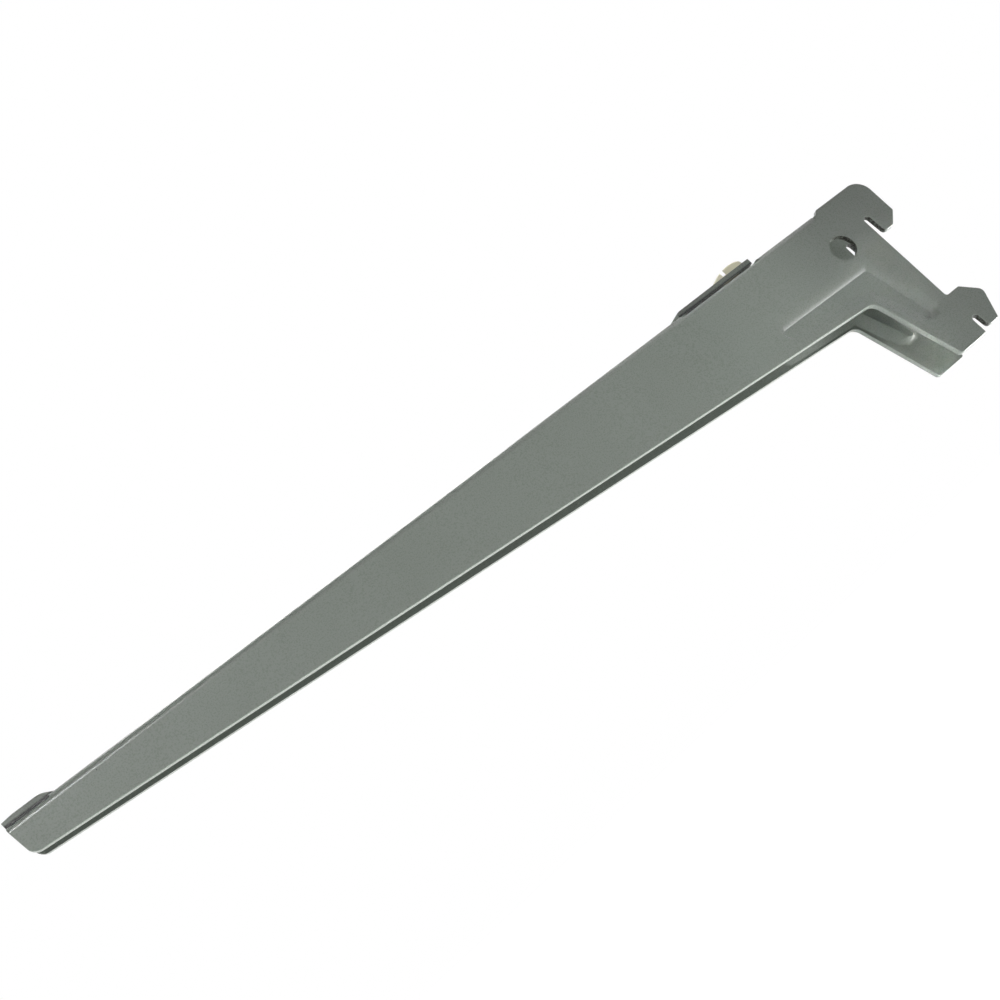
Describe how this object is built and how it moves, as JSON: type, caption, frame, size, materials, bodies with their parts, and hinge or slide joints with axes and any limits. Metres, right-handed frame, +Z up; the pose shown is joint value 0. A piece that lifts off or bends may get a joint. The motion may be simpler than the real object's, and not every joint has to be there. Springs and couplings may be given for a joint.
{
  "type": "slotted shelf bracket",
  "caption": "Folded sheet-steel shelf bracket that hooks into a slotted wall rail, with a tapered channel arm, pressed corner, raised tip stop and a domed plastic shelf button.",
  "frame": {"origin": "Where the face of the wall rail, the plane that the shelf lies on and the middle of the bracket's width meet.", "axes": "+X out from the rail to the tip, +Y across the bracket, +Z up."},
  "size_m": [0.3387, 0.0184, 0.0748],
  "materials": {
    "body": "satin grey-green powder coat with a fine grain",
    "button": "cream moulded plastic with a soft sheen"
  },
  "bodies": {
    "root": {"bracket_body": "body", "shelf_button": "button"}
  },
  "joints": []
}
